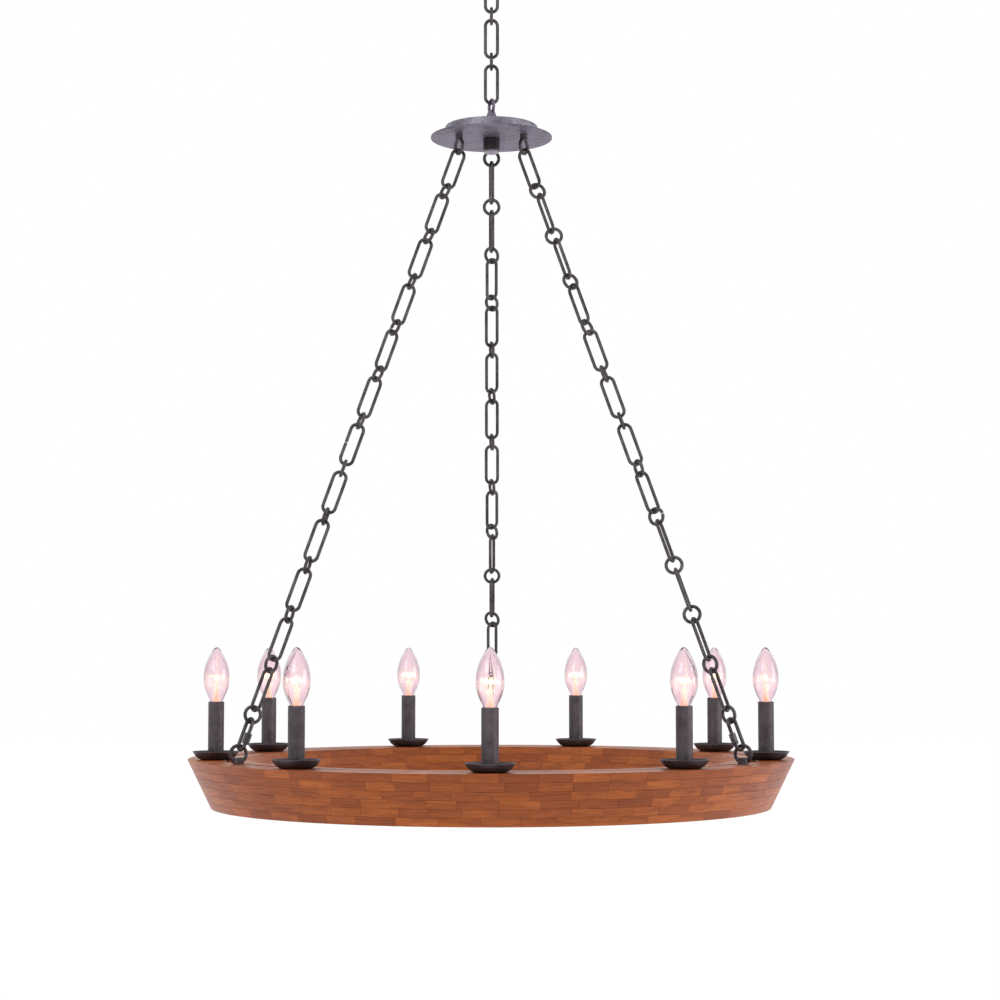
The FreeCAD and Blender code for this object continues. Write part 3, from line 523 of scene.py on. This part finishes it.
colour = add(
    tree, "Mix", {0: fine.outputs[0], 6: streaked.outputs[2], 7: linear(PORE)}, data_type="RGBA"
)
relief = add(tree, "Bump", {"Strength": 0.6, "Distance": 0.0002, "Height": fibres.outputs["Fac"]})
end(tree, add(
    tree, "BsdfPrincipled",
    {
        "Base Color": colour.outputs[2], "Roughness": 0.4, "Normal": relief.outputs[0],
        "Specular IOR Level": 0.2,
    },
))
wood_blocks = piece("wood_ring_blocks", spots, faces, wood, sharp=20)
grain_data = wood_blocks.data.attributes.new("grain", "FLOAT_VECTOR", "POINT")
grain_data.data.foreach_set("vector", [c for g in grain for c in g])
tone_data = wood_blocks.data.attributes.new("tone", "FLOAT", "POINT")
tone_data.data.foreach_set("value", tones)
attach(wood_blocks, "ring")
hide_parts("wood_ring")

# the wiring harness: a round black lead pressed into the groove under the pans
BLOOM = 0.0025
lead_cover, tree = begin("extruded_rubber_lead")
place = add(tree, "TexCoord").outputs["Object"]
bloom = add(tree, "TexNoise", {"Vector": place, "Scale": 1 / BLOOM, "Detail": 2.0})
colour = add(
    tree, "Mix", {0: bloom.outputs["Fac"], 6: linear("#161517"), 7: linear("#2a292c")},
    data_type="RGBA",
)
end(tree, add(tree, "BsdfPrincipled", {"Base Color": colour.outputs[2], "Roughness": 0.6}))
dress(lead_cover, "wiring_harness")

# ------------------------------------------------------------------ candles
# A dished pan with a rolled lip, a thin iron sleeve, and a lamp socket inside it, all
# clamped on a threaded nipple. The pan is pressed, the sleeve is drawn tube.
CANDLE_CIRCLE, CANDLES = 0.391, 9
pan_low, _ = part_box("candle_pans")
sleeve_low, sleeve_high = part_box("candle_sleeves")
PAN_RADIUS, PAN_BASE, PAN_HEIGHT, PAN_SHEET = 0.0325, 0.0175, 0.012, 0.0012
PAN_HOLE, PAN_LIP, PAN_CURVE = 0.0051, 0.0008, 0.8
LIP_IN, LIP_DOWN = 0.0012, 0.0016
DRAWN_IN, DRAWN_MORE = 0.0003, 0.0004
SLEEVE_RADIUS, SLEEVE_WALL, SLEEVE_EDGE, SLEEVE_STEP = 0.0111, 0.0009, 0.0004, 0.01
candle_iron = hammered_iron(
    "blackened_iron_candle", "#393134", "#524a4e", "#7b7377",
    metal=0.55, rough=0.48, mark=HAMMER_MARK, depth=0.0003,
)


def candle_places():
    """The middles of the nine candles on the ring, the first at the front."""
    for number in range(CANDLES):
        angle = 2 * math.pi * number / CANDLES
        yield number + 1, CANDLE_CIRCLE * math.sin(angle), -CANDLE_CIRCLE * math.cos(angle), angle


def nine(points, faces):
    """The same turned piece on every candle's place, as one mesh."""
    all_points, all_faces = [], []
    for _, x, y, angle in candle_places():
        base = len(all_points)
        spun = Matrix.Rotation(angle, 3, "Z")
        all_points += [spun @ Vector(p) + Vector((x, y, 0)) for p in points]
        all_faces += [[base + i for i in face] for face in faces]
    return all_points, all_faces


def dish(t):
    """The pan's underside from its flat base to its rim: (radius, height) at a share t."""
    radius = PAN_BASE + (PAN_RADIUS - LIP_IN - PAN_BASE) * t
    return radius, (PAN_HEIGHT - LIP_DOWN) * (1 - (1 - t * t) ** PAN_CURVE)


STEPS, PAN_ROUND, SLEEVE_ROUND = 12, 72, 64
under = [(PAN_HOLE, 0.0)] + [dish(k / STEPS) for k in range(STEPS + 1)]
lip_centre = (PAN_RADIUS - PAN_LIP, PAN_HEIGHT - PAN_LIP)
lip = [
    (lip_centre[0] + PAN_LIP * math.cos(a), lip_centre[1] + PAN_LIP * math.sin(a))
    for a in (math.radians(degrees) for degrees in range(-60, 181, 30))
]
inner = [
    (r - DRAWN_IN - DRAWN_MORE * k / STEPS, z + PAN_SHEET)
    for k in reversed(range(STEPS))
    for r, z in [dish(k / STEPS)]
]
pan_outline = [(r, z + pan_low.z) for r, z in under + lip + inner + [(PAN_HOLE, PAN_SHEET)]]
pans = piece("candle_pans_pressed", *nine(*lathe(pan_outline, PAN_ROUND)), candle_iron)
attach(pans, "ring")
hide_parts("candle_pans")

sleeve_outline = rounded(
    [
        (SLEEVE_RADIUS - SLEEVE_WALL, sleeve_low.z), (SLEEVE_RADIUS, sleeve_low.z),
        (SLEEVE_RADIUS, sleeve_high.z), (SLEEVE_RADIUS - SLEEVE_WALL, sleeve_high.z),
    ],
    SLEEVE_EDGE,
)
sleeve_mesh = lathe(split(sleeve_outline, SLEEVE_STEP), SLEEVE_ROUND)
sleeves = piece("candle_sleeves_drawn", *nine(*sleeve_mesh), candle_iron)
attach(sleeves, "ring")
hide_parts("candle_sleeves")

# phenolic, moulded: near black with a faint sheen and flecks of 1.1 mm
FLECKS_PER_METRE = 900
phenolic, tree = begin("moulded_phenolic_socket")
place = add(tree, "TexCoord").outputs["Object"]
flecks = add(tree, "TexNoise", {"Vector": place, "Scale": FLECKS_PER_METRE, "Detail": 2.0})
colour = add(
    tree, "Mix", {0: flecks.outputs["Fac"], 6: linear("#141313"), 7: linear("#2c2927")},
    data_type="RGBA",
)
end(tree, add(tree, "BsdfPrincipled", {"Base Color": colour.outputs[2], "Roughness": 0.4}))
dress(phenolic, "candle_sockets")

# ------------------------------------------------------------------ bulbs
# Torpedo lamps: a thin blown envelope, a glass stem that holds the leads, a wavy coiled
# filament across the middle, and a rolled brass screw cap that turns into the socket.
BULB_RADIUS, BULB_HEIGHT, GLASS, SEALED, TIP = 0.0182, 0.076, 0.0007, 1.2, 0.003
FOOT, FOOT_RADIUS, NECK_RADIUS, BULB_ROUND = -0.0057, 0.0062, 0.0066, 64
# the envelope's outline: a share of the height, then the share of the largest radius there
SHAPE = [
    (0.0, 0.47), (0.033, 0.51), (0.08, 0.61), (0.116, 0.685), (0.16, 0.765), (0.215, 0.855),
    (0.27, 0.93), (0.314, 0.97), (0.38, 0.998), (0.446, 1.0), (0.51, 0.985), (0.578, 0.95),
    (0.63, 0.90), (0.677, 0.84), (0.73, 0.77), (0.776, 0.69), (0.83, 0.585), (0.875, 0.48),
    (0.91, 0.39), (0.94, 0.305), (0.965, 0.23), (0.985, 0.15), (0.996, 0.08), (1.0, 0.0),
]

# soda glass, blown: faintly lavender, its own tint, with a painted dark reflection that deepens the
# colour towards its edges where it is seen on end
GLASS_CLEAR, GLASS_EDGE_REFLECTION = "#fae9ee", "#513b57"
# painted glow: the glass itself gives off warm light, most at this height by the filament, and this
# is how far it reaches
LIT_HEIGHT, LIT_SPREAD = 0.027, 0.017
glass, tree = begin("blown_soda_glass")
edge = add(tree, "LayerWeight", {"Blend": 0.5})
# painted dark reflection: the colour turns deep purple where the glass is seen on end
painted_edge_reflection = add(tree, "Math", {0: edge.outputs["Facing"], 1: 2.0}, operation="POWER")
colour = add(
    tree, "Mix", {0: painted_edge_reflection.outputs[0], 6: linear(GLASS_CLEAR), 7: linear(GLASS_EDGE_REFLECTION)},
    data_type="RGBA",
)
height = add(tree, "SeparateXYZ", {"Vector": add(tree, "TexCoord").outputs["Object"]})
away = add(tree, "Math", {0: height.outputs["Z"], 1: LIT_HEIGHT}, operation="SUBTRACT")
far = add(tree, "Math", {0: away.outputs[0]}, operation="ABSOLUTE")
# painted glow in the glass, strongest at the filament's height and fading out above and below
lit = add(
    tree, "MapRange",
    {
        "Value": far.outputs[0], "From Min": 0.0, "From Max": LIT_SPREAD,
        "To Min": 0.055, "To Max": 0.0,
    },
    interpolation_type="SMOOTHSTEP",
)
end(tree, add(
    tree, "BsdfPrincipled",
    {
        "Base Color": colour.outputs[2], "Transmission Weight": 1.0, "Roughness": 0.02, "IOR": 1.45,
        "Emission Color": linear("#ffe6bd"), "Emission Strength": lit.outputs[0],
    },
))

# stem glass with a painted glow from the filament: cream at the top, amber towards the cap, and
# drawn into reeds 1.1 mm wide and 8.3 mm long
REEDS_PER_METRE = (900, 900, 120)
stem_glass, tree = begin("drawn_stem_glass")
place = add(tree, "TexCoord").outputs["Object"]
height = add(tree, "SeparateXYZ", {"Vector": place})
rise = add(tree, "MapRange", {"Value": height.outputs["Z"], "From Min": -0.004, "From Max": 0.024})
reeded = add(tree, "Mapping", {"Vector": place, "Scale": REEDS_PER_METRE})
reeds = add(tree, "TexNoise", {"Vector": reeded.outputs[0], "Scale": 1.0, "Detail": 2.0})
warm = add(
    tree, "Mix", {0: rise.outputs[0], 6: linear("#eecaa4"), 7: linear("#fff3e0")}, data_type="RGBA"
)
streaks = add(
    tree, "MapRange",
    {"Value": reeds.outputs["Fac"], "From Min": 0.35, "From Max": 0.65, "To Max": 0.6},
)
lit = add(
    tree, "Mix", {0: streaks.outputs[0], 6: warm.outputs[2], 7: linear("#e2a982")}, data_type="RGBA"
)
# painted glow: the stem gives off its own colour as light
end(tree, add(
    tree, "BsdfPrincipled",
    {
        "Base Color": lit.outputs[2], "Roughness": 0.2, "Emission Color": lit.outputs[2],
        "Emission Strength": 0.8,
    },
))

# tungsten, coiled: white hot with yellow spots 2 mm long, coarse enough to show
HOT_SPOT = 0.002
tungsten, tree = begin("glowing_tungsten_coil")
place = add(tree, "TexCoord").outputs["Object"]
spots = add(tree, "TexNoise", {"Vector": place, "Scale": 1 / HOT_SPOT})
hot = add(
    tree, "Mix", {0: spots.outputs["Fac"], 6: linear("#ffc862"), 7: linear("#ffe9a6")},
    data_type="RGBA",
)
end(tree, add(
    tree, "BsdfPrincipled",
    {"Base Color": linear("#fff0c8"), "Emission Color": hot.outputs[2], "Emission Strength": 6.0},
))

# nickel wire for the leads, with a painted orange glow that grows towards the filament
nickel, tree = begin("drawn_nickel_lead")
place = add(tree, "TexCoord").outputs["Object"]
height = add(tree, "SeparateXYZ", {"Vector": place})
# painted glow: none 14 mm up, strongest where the leads meet the filament at 33 mm
rise = add(
    tree, "MapRange",
    {"Value": height.outputs["Z"], "From Min": 0.014, "From Max": 0.033, "To Max": 1.4},
)
end(tree, add(
    tree, "BsdfPrincipled",
    {
        "Base Color": linear("#b9a48c"), "Metallic": 1.0, "Roughness": 0.3,
        "Emission Color": linear("#ffb060"), "Emission Strength": rise.outputs[0],
    },
))

# brass, rolled to a thread: satin yellow with patches of tarnish 4.5 mm across
TARNISH_PER_METRE = 220
brass, tree = begin("rolled_brass_cap")
place = add(tree, "TexCoord").outputs["Object"]
tarnish = add(tree, "TexNoise", {"Vector": place, "Scale": TARNISH_PER_METRE, "Detail": 3.0})
colour = add(
    tree, "Mix", {0: tarnish.outputs["Fac"], 6: linear("#9c8146"), 7: linear("#d9c184")},
    data_type="RGBA",
)
end(tree, add(
    tree, "BsdfPrincipled", {"Base Color": colour.outputs[2], "Metallic": 1.0, "Roughness": 0.3}
))


def smooth_through(pairs, steps):
    """More points on a smooth line through these (share, value) pairs."""
    out = []
    for i in range(len(pairs) - 1):
        p = [Vector(pairs[max(0, min(len(pairs) - 1, i + k))]) for k in (-1, 0, 1, 2)]
        for k in range(steps):
            t = k / steps
            out.append(tuple(0.5 * (
                2 * p[1] + (p[2] - p[0]) * t + (2 * p[0] - 5 * p[1] + 4 * p[2] - p[3]) * t ** 2
                + (3 * p[1] - p[0] - 3 * p[2] + p[3]) * t ** 3
            )))
    return out + [tuple(pairs[-1])]


outer = [(max(0.0, r) * BULB_RADIUS, h * BULB_HEIGHT) for h, r in smooth_through(SHAPE, 3)]
outer[-1] = (0.0, BULB_HEIGHT)
outer = [(FOOT_RADIUS, FOOT), (NECK_RADIUS, FOOT * 0.5)] + outer
hollow = [
    (
        r - GLASS * (1 + max(0.0, h / BULB_HEIGHT) * SEALED),
        h - TIP * max(0.0, h / BULB_HEIGHT - 0.5) * 2,
    )
    for r, h in outer[:-1]
]
hollow = [(r, h) for r, h in hollow if r > GLASS] + [(0.0, BULB_HEIGHT - TIP)]
hollow[0] = (FOOT_RADIUS - GLASS, FOOT)
envelope_mesh = weld(*lathe(outer + list(reversed(hollow)), BULB_ROUND))


def tube(path, radius, sides=8):
    """A round wire along a path of points, with closed ends."""
    path = [Vector(p) for p in path]
    points, faces = [], []
    side = None
    for i, here in enumerate(path):
        way = (path[min(i + 1, len(path) - 1)] - path[max(i - 1, 0)]).normalized()
        if side is None:
            side = way.orthogonal().normalized()
        side = (side - way * side.dot(way)).normalized()
        other = way.cross(side)
        points += [
            here + (side * math.cos(a) + other * math.sin(a)) * radius
            for a in (2 * math.pi * k / sides for k in range(sides))
        ]
    for i in range(len(path) - 1):
        for k in range(sides):
            j = (k + 1) % sides
            a, b = i * sides, (i + 1) * sides
            faces.append([a + k, a + j, b + j, b + k])
    faces.append(list(reversed(range(sides))))
    faces.append([(len(path) - 1) * sides + k for k in range(sides)])
    return points, faces


def joined(*meshes):
    """Several meshes' points and faces as one."""
    points, faces = [], []
    for more_points, more_faces in meshes:
        base = len(points)
        points += list(more_points)
        faces += [[base + i for i in face] for face in more_faces]
    return points, faces


# the filament: a wire that waves up and down and sways from front to back
FILAMENT_HEIGHT, FILAMENT_REACH, FILAMENT_WIRE, FILAMENT_STEPS = 0.033, 0.011, 0.0011, 60
SWAY, SWAY_STEPS, WAVE, WAVE_STEPS = 0.0009, 20, 0.0022, 15
waves = [
    (
        FILAMENT_REACH * (2 * k / FILAMENT_STEPS - 1),
        SWAY * math.cos(k * 2 * math.pi / SWAY_STEPS),
        FILAMENT_HEIGHT + WAVE * math.sin(k * 2 * math.pi / WAVE_STEPS),
    )
    for k in range(FILAMENT_STEPS + 1)
]
filament_mesh = tube(waves, FILAMENT_WIRE)

# the stem: wide at the cap, pinched round the leads, with a bead under the filament
STEM_ROUND = 32
STEM = [
    (0, FOOT), (0.0056, FOOT), (0.0054, -0.002), (0.0048, 0.003), (0.0040, 0.008),
    (0.0034, 0.014), (0.0036, 0.018), (0.0041, 0.0205), (0.0035, 0.022), (0.0018, 0.0235),
    (0.0010, 0.027), (0.0014, 0.0285), (0.0008, 0.030), (0, 0.0302),
]
stem_mesh = weld(*lathe(STEM, STEM_ROUND, close=False))

# two leads out to the filament's ends, and three finer supports up from the bead
LEAD_WIRE, SUPPORT_WIRE, BEAD, BEND = 0.00035, 0.0002, 0.029, 0.0315
LEAD = [
    (0.0008, 0.012), (0.0018, 0.020), (0.0045, 0.0255), (0.0085, 0.030),
    (FILAMENT_REACH, FILAMENT_HEIGHT),
]
SUPPORTS = ((-0.004, 0.0008), (0.0, -0.0009), (0.004, 0.0008))
lead_meshes = joined(*[
    tube([(sign * x, 0, z) for x, z in LEAD], LEAD_WIRE) for sign in (-1, 1)
] + [
    tube([(0, 0, BEAD), (x * 0.5, y * 0.5, BEND), (x, y, FILAMENT_HEIGHT)], SUPPORT_WIRE)
    for x, y in SUPPORTS
])

# the cap: a rolled thread that fades out at both ends, then the stepped tip
CAP_RADIUS, THREAD, PITCH, CAP_LENGTH, THREADED = 0.0057, 0.00025, 0.0021, 0.0236, 0.80
CAP_ROWS, CAP_ROUND, FADE_ROWS = 96, 40, 12
CAP_TIP = [(0.0050, -0.0010), (0.0036, -0.0030), (0.0024, -0.0036), (0.0018, -0.0044)]
threaded_end = FOOT - CAP_LENGTH * THREADED
cap_rings = []
for i in range(CAP_ROWS + 1):
    z = FOOT - CAP_LENGTH * THREADED * i / CAP_ROWS
    fade = min(1.0, i / FADE_ROWS, (CAP_ROWS - i) / FADE_ROWS)
    radii = [
        CAP_RADIUS + THREAD * fade * math.sin(2 * math.pi * z / PITCH + 2 * math.pi * k / CAP_ROUND)
        for k in range(CAP_ROUND)
    ]
    cap_rings.append((radii, z))
cap_rings += [([r] * CAP_ROUND, threaded_end + drop) for r, drop in CAP_TIP]
cap_points = [
    (r * math.cos(2 * math.pi * k / CAP_ROUND), r * math.sin(2 * math.pi * k / CAP_ROUND), z)
    for radii, z in cap_rings
    for k, r in enumerate(radii)
]
last = len(cap_rings) - 1
cap_faces = [
    [i * CAP_ROUND + k, (i + 1) * CAP_ROUND + k, (i + 1) * CAP_ROUND + j, i * CAP_ROUND + j]
    for i in range(last)
    for k, j in ((k, (k + 1) % CAP_ROUND) for k in range(CAP_ROUND))
]
cap_faces += [list(range(CAP_ROUND)), [last * CAP_ROUND + k for k in reversed(range(CAP_ROUND))]]

for number, x, y, angle in candle_places():
    spot = (x, y, sleeve_high.z)
    parts = [
        ("envelope", envelope_mesh, glass, "bulb_glass"),
        ("stem", stem_mesh, stem_glass, "bulb_glass"),
        ("filament", filament_mesh, tungsten, "bulb_metal"),
        ("leads", lead_meshes, nickel, "bulb_metal"),
        ("cap", (cap_points, cap_faces), brass, "bulb_metal"),
    ]
    for label, (points, faces), material, finish in parts:
        made = piece(f"bulb_{number}_{label}", points, faces, material, at=spot)
        made.rotation_euler = (0, 0, angle)
        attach(made, f"bulb_{number}")
        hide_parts(f"bulb_{number}_glass" if label == "envelope" else f"bulb_{number}_mount")

# ------------------------------------------------------------------ room, light, camera
# A pale floor well under the fitting, a white room, and two soft lamps. The camera
# stands three metres in front of the ring and looks up a little.
FLOOR_DROP, FLOOR_HALF, SEEN_WHITE = 1.1, 30, 0.9
floor_white, tree = begin("painted_floor")
seen = add(tree, "LightPath").outputs["Is Camera Ray"]
paint = add(tree, "BsdfDiffuse", {"Color": linear("#f2f2f2")})
bright = add(tree, "Emission", {"Color": (1, 1, 1, 1), "Strength": 1.02})
share = add(tree, "Math", {0: seen, 1: SEEN_WHITE}, operation="MULTIPLY")
end(tree, add(tree, "MixShader", {0: share.outputs[0], 1: paint.outputs[0], 2: bright.outputs[0]}))
floor_corners = [
    (x * FLOOR_HALF, y * FLOOR_HALF, wood_bottom - FLOOR_DROP)
    for x, y in ((-1, -1), (1, -1), (1, 1), (-1, 1))
]
floor = piece("floor", floor_corners, [[0, 1, 2, 3]], floor_white)

world = bpy.data.worlds.new("white_room")
bpy.context.scene.world = world
world.use_nodes = True
tree = world.node_tree
tree.nodes.clear()
rays = add(tree, "LightPath")
clear = add(
    tree, "Math", {0: rays.outputs["Is Camera Ray"], 1: rays.outputs["Is Transmission Ray"]},
    operation="MAXIMUM",
)
shown = add(
    tree, "Math", {0: clear.outputs[0], 1: rays.outputs["Is Glossy Ray"]}, operation="MAXIMUM"
)
way = add(tree, "SeparateXYZ", {"Vector": add(tree, "TexCoord").outputs["Generated"]})
windows = add(
    tree, "MapRange",
    {"Value": way.outputs["Y"], "From Min": -0.8, "From Max": 0.2, "To Min": 0.36, "To Max": 1.25},
)
ceiling = add(
    tree, "MapRange",
    {"Value": way.outputs["Z"], "From Min": 0.0, "From Max": 0.7, "To Max": 0.5},
)
daylight = add(tree, "Math", {0: windows.outputs[0], 1: ceiling.outputs[0]}, operation="ADD")
room = add(tree, "Background", {"Color": linear("#f4f2f8"), "Strength": daylight.outputs[0]})
white = add(tree, "Background", {"Color": (1, 1, 1, 1), "Strength": 1.0})
mixed = add(tree, "MixShader", {0: shown.outputs[0], 1: room.outputs[0], 2: white.outputs[0]})
add(tree, "OutputWorld", {"Surface": mixed.outputs[0]})

for label, spot, aim, size, power in (
    ("key_lamp", (-1.6, -2.6, 0.6), (0, 0, wood_top), 1.6, 23),
    ("side_lamp", (3.0, -0.8, -0.6), (0, 0, wood_top), 1.8, 30),
):
    lamp_data = bpy.data.lights.new(label, "AREA")
    lamp_data.size = size
    lamp_data.energy = power
    lamp = bpy.data.objects.new(label, lamp_data)
    lamp.location = spot
    lamp.rotation_euler = (Vector(aim) - Vector(spot)).to_track_quat("-Z", "Y").to_euler()
    bpy.context.scene.collection.objects.link(lamp)

LENS, SENSOR, SEES_TO, PITCH_UP = 79.43, 36, 100, 3.907
CAMERA_SIDE, CAMERA_BACK, CAMERA_RISE = 0.0125, -3.172, 0.1522
camera_data = bpy.data.cameras.new("camera")
camera_data.lens = LENS
camera_data.sensor_width = SENSOR
camera_data.clip_end = SEES_TO
camera = bpy.data.objects.new("camera", camera_data)
camera.location = (CAMERA_SIDE, CAMERA_BACK, wood_top + CAMERA_RISE)
camera.rotation_euler = (math.radians(90 + PITCH_UP), 0, 0)
bpy.context.scene.collection.objects.link(camera)
bpy.context.scene.camera = camera
bpy.context.scene.view_settings.view_transform = "Standard"
